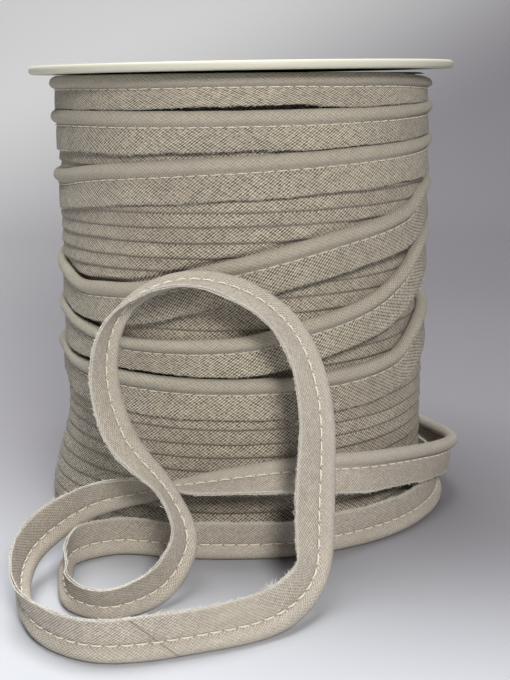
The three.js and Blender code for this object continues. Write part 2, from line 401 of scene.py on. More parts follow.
@dataclass
class PipingMaker:
    """Turns a run into its cloth, its stitches and the loose fibres of its raw edges.

    A join of two strips stands up in a ridge, with a hollow beside it.
    """

    piping: Piping
    run: Run
    hang: Hang
    joins: Sequence[float] = ()
    join_rise: float = 0.45
    bias: float = math.pi / 4
    fibre_radius: float = 0.125
    join_width: float = 1.3
    hollow_share: float = 0.6
    hollow_off: float = 2.4
    hollow_width: float = 0.9
    pucker_depth: float = 0.06
    pucker_width: float = 0.9
    stitch_rise: float = 0.46
    stitch_sink: float = 0.06
    tuft_count: int = 26
    tuft_spread: float = 1.1

    def lift(self, at: np.ndarray, across: np.ndarray, side: float) -> np.ndarray:
        """How far a layer stands from the middle plane on its own side.

        Args:
            at: Distances along the run.
            across: Distances from the bead towards the raw edge.
            side: 1 for the first layer and -1 for the second.

        Returns:
            The distances of the layer's inner face from the middle plane, signed.
        """
        seed = self.hang.seed + (0 if side > 0 else 50)
        opening = self.hang.opening[0 if side > 0 else 1]
        swing = opening * (1.0 + wander(at, 0.75, 37.0, seed))
        ripple = wander(at, self.hang.ripple, self.hang.ripple_length, self.hang.seed + 90)
        freedom = self.piping.freedom(across)
        return freedom * (side * np.maximum(swing, 0.03) + ripple * freedom)

    def trim(self, at: np.ndarray, side: float) -> np.ndarray:
        """How far the raw edge of a layer wanders along the run."""
        seed = self.hang.seed + (7 if side > 0 else 61)
        return wander(at, self.hang.unevenness, 29.0, seed) + wander(at, 0.06, 3.1, seed + 1)

    def pucker(self, at: np.ndarray, across: np.ndarray) -> np.ndarray:
        """How far the sewing draws the cloth in between the ends of the stitches."""
        beat = 0.5 + 0.5 * np.cos(2 * math.pi * at / self.piping.stitch_pitch)
        return self.pucker_depth * beat * hump(across - self.piping.seam, self.pucker_width)

    def join_at(self, at: np.ndarray, across: np.ndarray) -> np.ndarray:
        """How far a slanting join of two strips stands up from the cloth."""
        rise = np.zeros(np.broadcast(at, across).shape)
        for place in self.joins:
            off = at - across - place
            rise = rise + self.join_rise * hump(off, self.join_width)
            rise = rise - self.hollow_share * self.join_rise * hump(off - self.hollow_off, self.hollow_width)
        return rise

    def cloth(self, name: str) -> bpy.types.Object:
        """Builds the cloth of the run.

        Args:
            name: The object's name.

        Returns:
            The mesh of both layers and the bead, with its places on the flat strip.
        """
        tape, run = self.piping, self.run
        layer = np.array([tape.raw, tape.raw - 0.25, 9.2, 8.0, 6.8, 5.6, 4.6, 3.9, 3.4, 2.85, 2.45])
        inner = np.array([3.6, 5.2, 7.0, 8.8, tape.raw])
        turn = np.radians(np.linspace(tape.neck_angle, FULL_TURN - tape.neck_angle, 19))
        at = run.length[:, None]
        rows_across, rows_out, rows_place = [], [], []

        def add_layer(across: np.ndarray, side: float, outer: bool) -> None:
            """Adds a face of one layer to the section, in the order given."""
            spread = across + tape.past_seam(across) ** 4 * self.trim(at, side)
            depth = self.lift(at, across, side)
            if outer:
                face = tape.layer(across) - self.pucker(at, across) + self.join_at(at, across)
                depth = depth + side * face
            rows_across.append(spread)
            rows_out.append(depth)
            away = tape.raw - across
            rows_place.append(away if side > 0 else tape.strip - away)

        add_layer(layer, 1.0, True)
        plump = 1.0 + wander(at, 0.02, 17.0, self.hang.seed + 3)
        rows_across.append(tape.bead_radius * np.cos(turn) * plump)
        rows_out.append(tape.bead_radius * np.sin(turn) * plump)
        rows_place.append(tape.raw - tape.bead_radius + tape.bead_radius * (turn - turn[0]))
        add_layer(layer[::-1], -1.0, True)
        add_layer(inner[::-1], -1.0, False)
        add_layer(inner, 1.0, False)

        across, out = np.hstack(rows_across), np.hstack(rows_out)
        rings = run.place(at, across, out)
        places = np.broadcast_to(np.concatenate(rows_place), across.shape)
        cloth = np.stack([np.broadcast_to(at, across.shape), places], -1)
        return grid_object(name, rings, cloth, closed=True, capped=True)

    def stitches(self, name: str, sides: Sequence[float]) -> bpy.types.Object:
        """Builds the stitches beside the bead, one joined mesh.

        Args:
            name: The object's name.
            sides: The sides of the flange that show: 1 and -1.

        Returns:
            The mesh of the thread.
        """
        tape = self.piping
        draw = np.random.default_rng(self.hang.seed + 200)
        starts = np.arange(0.6, self.run.total - tape.stitch_pitch, tape.stitch_pitch)
        share = np.linspace(0.0, 1.0, 7)
        lines, widths = [], []
        for side in sides:
            shift = draw.uniform(-0.18, 0.18, len(starts))
            slant = draw.uniform(-0.16, 0.16, len(starts))
            at = starts[:, None] + tape.stitch_length * share + shift[:, None]
            across = tape.seam + slant[:, None] * (share - 0.5) + 0.04 * shift[:, None]
            arch = np.sin(math.pi * share) ** 0.6
            out = self.lift(at, across, side) + side * (tape.cloth - tape.seam_pinch)
            out = out + side * (self.stitch_rise * arch - self.stitch_sink)
            lines.append(self.run.place(at, across, out))
            widths.append(np.broadcast_to(tape.thread_radius * (0.45 + 0.55 * arch), at.shape))
        return strands_object(name, np.vstack(lines), np.vstack(widths), 6)

    def fibres(self, name: str, per_mm: float, longest: float,
               tufts: Sequence[tuple[float, float]] = ()) -> bpy.types.Object:
        """Builds the loose fibres of the raw edges, one joined mesh.

        Args:
            name: The object's name.
            per_mm: How many fibres a millimetre of raw edge has.
            longest: The longest of them.
            tufts: Where along the run a tuft is frayed out, and how long its fibres are.

        Returns:
            The mesh of the fibres.
        """
        draw = np.random.default_rng(self.hang.seed + 400)
        count = int(self.run.total * per_mm)
        share = np.linspace(0.0, 1.0, 4)
        lines, widths = [], []

        def add(at: np.ndarray, size: np.ndarray, side: float, spread: float) -> None:
            """Adds fibres that start at those places of one layer's raw edge."""
            lean = draw.choice((-1.0, 1.0), len(at)) * self.bias + draw.normal(0.0, spread, len(at))
            curl = draw.normal(0.0, 0.5, len(at))
            aside = draw.normal(0.0, 0.3, len(at))
            grow = size[:, None] * share
            edge = self.piping.raw + self.trim(at, side)
            across = edge[:, None] - 0.15 + grow * np.cos(lean)[:, None]
            along = at[:, None] + grow * np.sin(lean)[:, None] + (curl * size)[:, None] * share ** 2
            root = self.lift(at, edge, side) + side * draw.uniform(0.02, self.piping.cloth, len(at))
            out = root[:, None] + (aside * size)[:, None] * share ** 2
            lines.append(self.run.place(along, across, out))
            widths.append(np.broadcast_to(self.fibre_radius * (1.0 - 0.6 * share), along.shape))

        for side in (1.0, -1.0):
            at = np.sort(draw.uniform(1.0, self.run.total - 1.0, count))
            size = longest * draw.beta(1.5, 2.6, count) + 0.3
            add(at, size, side, 0.22)
        for place, size in tufts:
            at = draw.normal(place, self.tuft_spread, self.tuft_count)
            add(at, size * draw.uniform(0.5, 1.0, self.tuft_count), 1.0, 0.35)
        return strands_object(name, np.vstack(lines), np.vstack(widths), 3)


class Graph:
    """Adds nodes to a node tree and joins them."""

    def __init__(self, tree: bpy.types.NodeTree) -> None:
        """Works on the given tree."""
        self.tree = tree

    def node(self, kind: str, inputs: Optional[Mapping[Union[int, str], Socket]] = None,
             **settings: object) -> bpy.types.Node:
        """Adds a node.

        Args:
            kind: The node's class name without its ShaderNode prefix.
            inputs: What each input socket takes: another node's socket, or a value.
            settings: The node's own settings.

        Returns:
            The node.
        """
        made = self.tree.nodes.new(kind if kind.startswith("NodeGroup") else "ShaderNode" + kind)
        for name, value in settings.items():
            setattr(made, name, value)
        for key, value in (inputs or {}).items():
            self.feed(made.inputs[key], value)
        return made

    def feed(self, socket: bpy.types.NodeSocket, value: Socket) -> None:
        """Joins a socket to another one, or gives it a value."""
        if isinstance(value, bpy.types.NodeSocket):
            self.tree.links.new(value, socket)
        else:
            socket.default_value = value

    def math(self, operation: str, *values: Socket) -> bpy.types.NodeSocket:
        """The result of a Math node."""
        return self.node("Math", dict(enumerate(values)), operation=operation).outputs[0]

    def vector(self, operation: str, *values: Socket) -> bpy.types.NodeSocket:
        """The result of a Vector Math node."""
        return self.node("VectorMath", dict(enumerate(values)), operation=operation).outputs[0]

    def blend(self, share: Socket, low: Socket, high: Socket) -> bpy.types.NodeSocket:
        """A number between low and high."""
        inputs = {"Factor": share, "A": low, "B": high}
        return self.node("Mix", inputs).outputs[0]

    def tint(self, share: Socket, low: Socket, high: Socket,
             mode: str = "MIX") -> bpy.types.NodeSocket:
        """A colour between low and high, or one laid over the other.

        Args:
            share: How far towards high.
            low: A socket, or a colour of three numbers.
            high: A socket, or a colour of three numbers.
            mode: How high is laid over low.

        Returns:
            The colour's socket.
        """
        made = self.node("Mix", data_type="RGBA", blend_type=mode)
        for key, value in ((0, share), (6, low), (7, high)):
            self.feed(made.inputs[key], (*value, 1.0) if isinstance(value, tuple) else value)
        return made.outputs[2]

    def ease(self, value: Socket, start: float, end: float) -> bpy.types.NodeSocket:
        """Eases a number from 0 at start to 1 at end."""
        inputs = {"Value": value, "From Min": start, "From Max": end}
        return self.node("MapRange", inputs, interpolation_type="SMOOTHSTEP").outputs[0]

    def noise(self, at: Socket, scale: Socket, detail: float = 2.0) -> bpy.types.Node:
        """A noise texture of a number or a colour."""
        return self.node("TexNoise", {"Vector": at, "Scale": scale, "Detail": detail})


class Effect(Enum):
    """The shader groups that the finishes share."""

    WEAVE = "Bias weave"
    MOTTLE = "Cloth mottling"
    STRIP_MARKS = "Strip marks"


@dataclass
class Effects:
    """Builds each shared shader group once.

    The angles are the slopes of the two sets of threads on the strip, which is pulled along its
    length. The gaps are how far each set leaves pores open, and the chance how unequal they are.
    """

    warp_angle: float = math.radians(56.0)
    weft_angle: float = math.radians(51.0)
    warp_gap: float = 0.45
    weft_gap: float = 0.8
    pore_chance: float = 0.5
    built: dict[Effect, bpy.types.NodeTree] = field(default_factory=dict)

    def get(self, effect: Effect) -> bpy.types.NodeTree:
        """The group of an effect, built at its first use."""
        if effect not in self.built:
            makers = {Effect.WEAVE: self.weave, Effect.MOTTLE: self.mottle,
                      Effect.STRIP_MARKS: self.strip_marks}
            self.built[effect] = makers[effect]()
        return self.built[effect]

    @staticmethod
    def start(effect: Effect, inputs: Mapping[str, object],
              outputs: Sequence[str]) -> tuple[Graph, bpy.types.Node, bpy.types.Node]:
        """Starts a group with its named inputs and outputs.

        Args:
            effect: The effect, whose value names the group.
            inputs: Each input's name, and its default number, or None for a vector.
            outputs: The names of the outputs, all numbers.

        Returns:
            The graph, its input node and its output node.
        """
        tree = bpy.data.node_groups.new(effect.value, "ShaderNodeTree")
        for name, default in inputs.items():
            kind = "NodeSocketVector" if default is None else "NodeSocketFloat"
            socket = tree.interface.new_socket(name=name, in_out="INPUT", socket_type=kind)
            if default is not None:
                socket.default_value = default
        for name in outputs:
            tree.interface.new_socket(name=name, in_out="OUTPUT", socket_type="NodeSocketFloat")
        graph = Graph(tree)
        return graph, graph.node("NodeGroupInput"), graph.node("NodeGroupOutput")

    def weave(self) -> bpy.types.NodeTree:
        """A plain weave on the bias, from its place on the flat cloth in millimetres.

        Returns:
            The group: the height of the threads, the pores between them, and each thread's tone.
        """
        inputs = {"Cloth": None, "Wide": 1.05, "Narrow": 0.74, "Wander": 0.35}
        graph, given, out = self.start(Effect.WEAVE, inputs, ("Height", "Pores", "Yarn"))
        cloth = given.outputs["Cloth"]
        drift = graph.vector("SUBTRACT", graph.noise(cloth, 0.16).outputs["Color"], (0.5, 0.5, 0.5))
        drift = graph.node("VectorMath", {0: drift, "Scale": given.outputs["Wander"]},
                           operation="SCALE").outputs[0]
        moved = graph.node("SeparateXYZ", {0: graph.vector("ADD", cloth, drift)})
        u, v = moved.outputs[0], moved.outputs[1]

        def threads(slope: float, side: float, gap: str) -> bpy.types.NodeSocket:
            """How many threads of a set lie between here and the start."""
            rise = graph.math("MULTIPLY", v, side * math.sin(slope))
            return graph.math("DIVIDE", graph.math("MULTIPLY_ADD", u, math.cos(slope), rise),
                              given.outputs[gap])

        def ridge(count: Socket, pace: float) -> bpy.types.NodeSocket:
            """A wave from 0 up to 1 and back, as often for each thread as the pace."""
            turn = graph.math("MULTIPLY", count, pace * math.pi)
            return graph.math("ABSOLUTE", graph.math("SINE", turn))

        def crown(own: Socket, other: Socket) -> bpy.types.NodeSocket:
            """The height of a thread that lies over the other set."""
            return graph.math("MULTIPLY", own, graph.math("MULTIPLY_ADD", other, 0.45, 0.55))

        def shut(edge: Socket, gap: float) -> bpy.types.NodeSocket:
            """How far a set of threads closes the gaps beside them."""
            return graph.math("MULTIPLY_ADD", graph.ease(edge, 0.3, 0.9), gap, 1.0 - gap)

        def shade(count: Socket, along: Socket, shelf: float) -> bpy.types.NodeSocket:
            """A tone that each thread keeps and slowly changes along its length."""
            spot = {0: count, 1: graph.math("MULTIPLY", along, 0.05), 2: shelf}
            return graph.noise(graph.node("CombineXYZ", spot).outputs[0], 3.7, 1.0).outputs[0]

        warp = threads(self.warp_angle, 1.0, "Wide")
        weft = threads(self.weft_angle, -1.0, "Narrow")
        warp_edge, weft_round = ridge(warp, 1.0), ridge(weft, 1.0)
        pair = graph.math("MULTIPLY_ADD", ridge(warp, 2.0), 0.3, 0.7)
        warp_round = graph.math("MULTIPLY", warp_edge, pair)
        warp_count, weft_count = graph.math("FLOOR", warp), graph.math("FLOOR", weft)
        over = graph.math("FLOORED_MODULO", graph.math("ADD", warp_count, weft_count), 2.0)
        height = graph.blend(over, crown(warp_round, weft_round), crown(weft_round, warp_round))
        closed = graph.math("MULTIPLY", shut(warp_edge, self.warp_gap), shut(weft_round, self.weft_gap))
        pores = graph.math("SUBTRACT", 1.0, closed)
        corner = graph.node("CombineXYZ", {0: graph.math("ROUND", warp), 1: graph.math("ROUND", weft)})
        chance = graph.node("TexWhiteNoise", {"Vector": corner.outputs[0]}).outputs[0]
        size = graph.math("MULTIPLY_ADD", chance, self.pore_chance, 1.0 - self.pore_chance / 2)
        pores = graph.math("MULTIPLY", pores, size)
        yarn = graph.blend(over, shade(warp_count, weft, 0.0), shade(weft_count, warp, 9.0))
        for name, value in (("Height", height), ("Pores", pores), ("Yarn", yarn)):
            graph.feed(out.inputs[name], value)
        return graph.tree

    def mottle(self) -> bpy.types.NodeTree:
        """Slow changes of tone over a cloth, and fine fuzz on it.

        Returns:
            The group: the tone round 0.5, and the fuzz.
        """
        graph, given, out = self.start(Effect.MOTTLE, {"Cloth": None, "Patch": 60.0}, ("Tone", "Fuzz"))
        cloth = given.outputs["Cloth"]
        scale = graph.math("DIVIDE", 1.0, given.outputs["Patch"])
        graph.feed(out.inputs["Tone"], graph.noise(cloth, scale, 3.0).outputs[0])
        graph.feed(out.inputs["Fuzz"], graph.noise(cloth, 2.6, 4.0).outputs[0])
        return graph.tree

    def strip_marks(self) -> bpy.types.NodeTree:
        """What a place on the folded strip is near: a raw edge, the stitches, or the bead.

        Returns:
            The group: 1 at a raw edge, broken up by the cut threads; 1 along the stitches; and 1 on
            the bead, each easing down to 0.
        """
        inputs = {"Cloth": None, "Strip": 30.0, "Reach": 0.8, "Seam": 7.65}
        graph, given, out = self.start(Effect.STRIP_MARKS, inputs, ("Edge", "Seam", "Bead"))
        across = graph.node("SeparateXYZ", {0: given.outputs["Cloth"]}).outputs[1]
        far = graph.math("SUBTRACT", given.outputs["Strip"], across)
        near = graph.math("MINIMUM", graph.math("ABSOLUTE", across), graph.math("ABSOLUTE", far))
        noise = graph.noise(given.outputs["Cloth"], 1.9).outputs[0]
        ragged = graph.math("MULTIPLY_ADD", noise, 0.7, -0.35)
        share = graph.math("DIVIDE", graph.math("ADD", near, ragged), given.outputs["Reach"])
        graph.feed(out.inputs["Edge"], graph.math("SUBTRACT", 1.0, graph.ease(share, 0.0, 1.0)))
        past = graph.math("SUBTRACT", near, given.outputs["Seam"])
        beside = graph.ease(graph.math("ABSOLUTE", past), 0.05, 0.5)
        graph.feed(out.inputs["Seam"], graph.math("SUBTRACT", 1.0, beside))
        graph.feed(out.inputs["Bead"], graph.ease(past, -0.3, 0.6))
        return graph.tree


class Finish:
    """A material with one Principled shader, started from a name."""

    def __init__(self, name: str) -> None:
        """Makes the material and its graph."""
        self.material = bpy.data.materials.new(name)
        self.material.use_nodes = True
        self.graph = Graph(self.material.node_tree)
        self.shader = self.material.node_tree.nodes["Principled BSDF"]

    def set(self, **values: Socket) -> None:
        """Feeds the shader's sockets, named with underscores for spaces."""
        for name, value in values.items():
            self.graph.feed(self.shader.inputs[name.replace("_", " ")], value)

    def bump(self, height: Socket, depth: float, strength: float = 1.0) -> None:
        """Adds relief to the shader.

        Args:
            height: The relief from 0 to 1.
            depth: Its depth in millimetres.
            strength: Its strength.
        """
        node = self.graph.node("Bump", {"Height": height, "Distance": depth * MM, "Strength": strength})
        self.graph.feed(self.shader.inputs["Normal"], node.outputs[0])


@dataclass(frozen=True)
class ClothFinish:
    """Beige cotton in a plain weave, cut on the bias.

    The strip is the flat cloth's width, and wide and narrow are the spacings of its threads, in
    millimetres. The join is where the line of a join lies, counted along and across the strip
    together, and the shaded start is how far the cloth is darker from its beginning.
    """

    name: str
    yarn: Colour
    shade: Colour
    # Laid on the raw edges: the pale cut fibres on the loose end, and a painted shadow line under the raw
    # edge on the roll and the close turns.
    edge: Colour
    strip: float = 30.0
    wide: float = 1.02
    narrow: float = 0.7
    pore_depth: float = 1.0
    seam_crease_shade: float = 0.3
    bead_calm: float = 0.6
    mean: float = 0.57
    join: Optional[float] = None
    shaded_start: float = 0.0
    relief: float = 0.22
    yarn_range: tuple[float, float] = (0.62, 1.38)
    patches: tuple[Colour, Colour] = ((0.86, 0.84, 0.83), (1.06, 1.05, 1.02))
    start_tint: Colour = (0.7, 0.68, 0.64)
    join_shade: float = 0.55
    fray_and_shade_share: float = 0.5

    def own_marks(self, graph: Graph, cloth: Socket, tone: Socket) -> Socket:
        """Adds the shaded start and the line of the join.

        Args:
            graph: The material's graph.
            cloth: The place on the flat cloth.
            tone: The colour so far.

        Returns:
            The colour with them.
        """
        place = graph.node("SeparateXYZ", {0: cloth}).outputs
        # Painted shade: the loose end darkens towards its start, to meet the roll's darker cloth where it
        # leaves the roll.
        clear = graph.ease(place[0], 0.0, self.shaded_start)
        tone = graph.tint(1.0, tone, graph.tint(clear, self.start_tint, (1.0, 1.0, 1.0)), "MULTIPLY")
        off = graph.math("SUBTRACT", graph.math("ADD", place[0], place[1]), self.join)
        line = graph.math("SUBTRACT", 1.0, graph.ease(graph.math("ABSOLUTE", off), 0.1, 0.6))
        return graph.tint(graph.math("MULTIPLY", line, self.join_shade), tone, self.shade)

    def build(self, effects: Effects) -> bpy.types.Material:
        """Builds the material.

        Args:
            effects: The shared shader groups.

        Returns:
            The material.
        """
        finish = Finish(self.name)
        graph = finish.graph
        cloth = graph.node("UVMap", uv_map=CLOTH_MAP).outputs[0]
        weave = graph.node("Group", node_tree=effects.get(Effect.WEAVE))
        mottle = graph.node("Group", node_tree=effects.get(Effect.MOTTLE))
        marks = graph.node("Group", node_tree=effects.get(Effect.STRIP_MARKS))
        for group in (weave, mottle, marks):
            graph.feed(group.inputs["Cloth"], cloth)
        weave.inputs["Wide"].default_value = self.wide
        weave.inputs["Narrow"].default_value = self.narrow
        marks.inputs["Strip"].default_value = self.strip
        dark, light = (scaled(self.yarn, share) for share in self.yarn_range)
        tone = graph.tint(weave.outputs["Yarn"], dark, light)
        patch = graph.tint(graph.ease(mottle.outputs["Tone"], 0.3, 0.7), *self.patches)
        tone = graph.tint(1.0, tone, patch, "MULTIPLY")
        for share, depth, colour in (
            (weave.outputs["Pores"], self.pore_depth, self.shade),
            (marks.outputs["Bead"], self.bead_calm, scaled(self.yarn, self.mean)),
            # Painted shade in the crease along the stitches, together with the needle holes there.
            (marks.outputs["Seam"], self.seam_crease_shade, self.shade),
        ):
            tone = graph.tint(graph.math("MULTIPLY", share, depth), tone, colour)
        if self.join is not None:
            tone = self.own_marks(graph, cloth, tone)
        # Raw edges: pale cut fibres where the edge colour is light, a painted shadow line where it is dark.
        frayed = graph.math("MULTIPLY", marks.outputs["Edge"], self.fray_and_shade_share)
        tone = graph.tint(frayed, tone, self.edge)
        fuzz = graph.math("MULTIPLY", mottle.outputs["Fuzz"], 0.35)
        height = graph.math("ADD", weave.outputs["Height"], fuzz)
        rough = graph.math("MULTIPLY_ADD", mottle.outputs["Fuzz"], 0.2, 0.78)
        finish.set(Base_Color=tone, Roughness=rough, Specular_IOR_Level=0.25)
        finish.set(Sheen_Weight=0.18, Sheen_Roughness=0.6)
        finish.bump(height, self.relief)
        return finish.material


@dataclass(frozen=True)
class ThreadFinish:
    """Pale sewing thread, or the fibres of a cut edge."""

    name: str
    colour: Colour
    roughness: float = 0.6

    def build(self) -> bpy.types.Material:
        """Builds the material.

        Returns:
            The material.
        """
        finish = Finish(self.name)
        graph = finish.graph
        at = graph.node("TexCoord").outputs["Object"]
        twist = graph.node("TexWave", {"Vector": at, "Scale": 900.0, "Distortion": 2.0},
                           bands_direction="DIAGONAL").outputs[1]
        tone = graph.noise(at, 120.0).outputs[0]
        finish.set(Base_Color=graph.tint(tone, scaled(self.colour, 0.8), self.colour))
        finish.set(Roughness=graph.math("MULTIPLY_ADD", tone, 0.2, self.roughness - 0.1))
        finish.set(Sheen_Weight=0.2)
        finish.bump(twist, 0.03)
        return finish.material


@dataclass(frozen=True)
class BoardFinish:
    """Off-white moulded board with a faint grain and a slightly worn edge."""

    name: str = "flange_board"
    colour: Colour = (0.61, 0.60, 0.49)
    worn_colour: Colour = (0.62, 0.58, 0.47)
    worn_width: float = 1.6

    def build(self, rim: float) -> bpy.types.Material:
        """Builds the material.

        Args:
            rim: The disc's radius in millimetres.

        Returns:
            The material.
        """
        finish = Finish(self.name)
        graph = finish.graph
        at = graph.node("TexCoord").outputs["Object"]
        grain = graph.noise(at, 900.0, 4.0).outputs[0]
        cloud = graph.noise(at, 28.0, 3.0).outputs[0]
        flat = graph.vector("MULTIPLY", at, (1.0, 1.0, 0.0))
        radius = graph.node("VectorMath", {0: flat}, operation="LENGTH").outputs["Value"]
        outer = graph.ease(radius, (rim - self.worn_width) * MM, rim * MM)
        worn = graph.math("MULTIPLY", outer, cloud)
        tone = graph.tint(cloud, scaled(self.colour, 0.93), self.colour)
        tone = graph.tint(graph.math("MULTIPLY", worn, 0.5), tone, self.worn_colour)
        finish.set(Base_Color=tone, Roughness=graph.math("MULTIPLY_ADD", grain, 0.2, 0.42))
        finish.bump(grain, 0.03, 0.5)
        return finish.material


@dataclass
class LooseTail:
    """The loose end: the middle of the bead at each point, then the way to the raw edge."""

    piping: Piping
    route: Sequence[tuple[float, float, float, float, float, float]] = (
        (-64.6, 11.4, 55, 0, 0, -1),
        (-58.1, 30.9, 54.3, -0.1, 0, -1),
        (-33.3, 57.7, 39, -0.5, 0.87, -0.2),
        (8.2, 66.5, 17, 0.05, 0.6, 0.8),
        (45.7, 49, 4.4, 0, 0.1, 1),
        (65.7, 14, 2.5, 0, 0, 1),
        (66.3, -19, 2.5, 0, 0, 1),
        (49, -47, 2.5, 0, -0.05, 1),
        (17, -64, 2.5, 0, -0.15, 1),
        (-17, -65, 2.5, 0, -0.2, 1),
        (-41, -61, 2.5, 0.05, -0.15, 1),
        (-53.5, -69.5, 2.8, 0.2, 0, 1),
        (-53.5, -84, 2.6, 0.05, -0.05, 1),
        (-49, -99, 2.5, 0.1, -0.4, 0.9),
        (-37, -104.5, 2.6, -0.2, -0.5, 0.85),
        (-23, -95.5, 4.5, -0.35, -0.5, 0.8),
        (-16.5, -84, 14, -0.45, -0.75, 0.5),
        (-22, -77, 26, -0.25, -0.95, 0.25),
        (-35, -72.5, 44, -0.5, -0.85, 0.05),
        (-39.5, -69.5, 65, -0.45, -0.9, 0),
        (-34, -68, 81, -0.3, -0.95, 0),
        (-18.5, -68.5, 89, -0.05, -1, 0),
        (0, -69, 86.5, 0.05, -0.95, -0.3),
        (15, -71, 75, -0.4, -0.85, -0.25),
        (22.5, -77.5, 57, -0.7, -0.7, 0),
        (23, -89, 28, -0.85, -0.5, 0),
        (20, -100.5, 9, -0.45, -0.1, 0.9),
        (9.5, -113, 3.2, -0.2, 0.1, 1),
        (-12, -123, 2.5, -0.2, -0.1, 1),
        (-38, -127.5, 2.5, -0.35, -0.1, 0.95),
        (-54.5, -117, 2.7, -0.35, 0.1, 0.95),
        (-63, -98, 5.5, -0.3, -0.1, 0.95),
        (-62.5, -77.5, 8.5, -0.2, 0, 1),
        (-48.5, -62.5, 15, -0.05, -0.3, 0.95),
        (-30.5, -61.5, 20, 0.1, -0.6, 0.8),
        (-10, -66.5, 27, 0, -1, -0.1),
        (15, -65.5, 30.7, 0, -0.85, -0.55),
        (44.6, -52, 28.5, 0.05, -0.1, -1),
        (72.2, -15, 21, -0.1, 0, -1),
        (67, 31, 15, 0, 0, -1),
    )
    samples_between: int = 40
    step: float = 1.3
    join_station: float = 28.3
    tuft_station: float = 27.1

    def run(self) -> Run:
        """The run of the loose end, its places a step apart."""
        rows = np.array(self.route, float)
        shares = np.linspace(0, len(rows) - 1, (len(rows) - 1) * self.samples_between + 1)
        curve = row_curve(rows[:, :3], shares)
        ways = row_curve(rows[:, 3:], shares)
        return Run(curve, ways, self.piping.middle).spaced(self.step)

    def station(self, run: Run, number: float) -> float:
        """How far along the run a point of the route is, counted from 0."""
        rows = np.array(self.route, float)
        spot = row_curve(rows[:, :3], np.array([number]))[0]
        return float(run.length[np.argmin(np.linalg.norm(run.bead - spot, axis=1))])

    def build(self) -> tuple[list[bpy.types.Object], Run]:
        """Returns:
            Its cloth, stitches and fibres, and its run.
        """
        run = self.run()
        hang = Hang(opening=(0.08, 0.08), ripple=0.3, unevenness=0.25, seed=11)
        maker = PipingMaker(self.piping, run, hang, joins=(self.station(run, self.join_station),))
        tuft = self.station(run, self.tuft_station)
        pieces = [
            maker.cloth("tail_cloth"),
            maker.stitches("tail_stitches", (1.0, -1.0)),
            maker.fibres("tail_fibres", per_mm=1.5, longest=1.15, tufts=((tuft, 2.8),)),
        ]
        for piece in pieces:
            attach(piece, BODY)
        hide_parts("loose_tail")
        return pieces, run


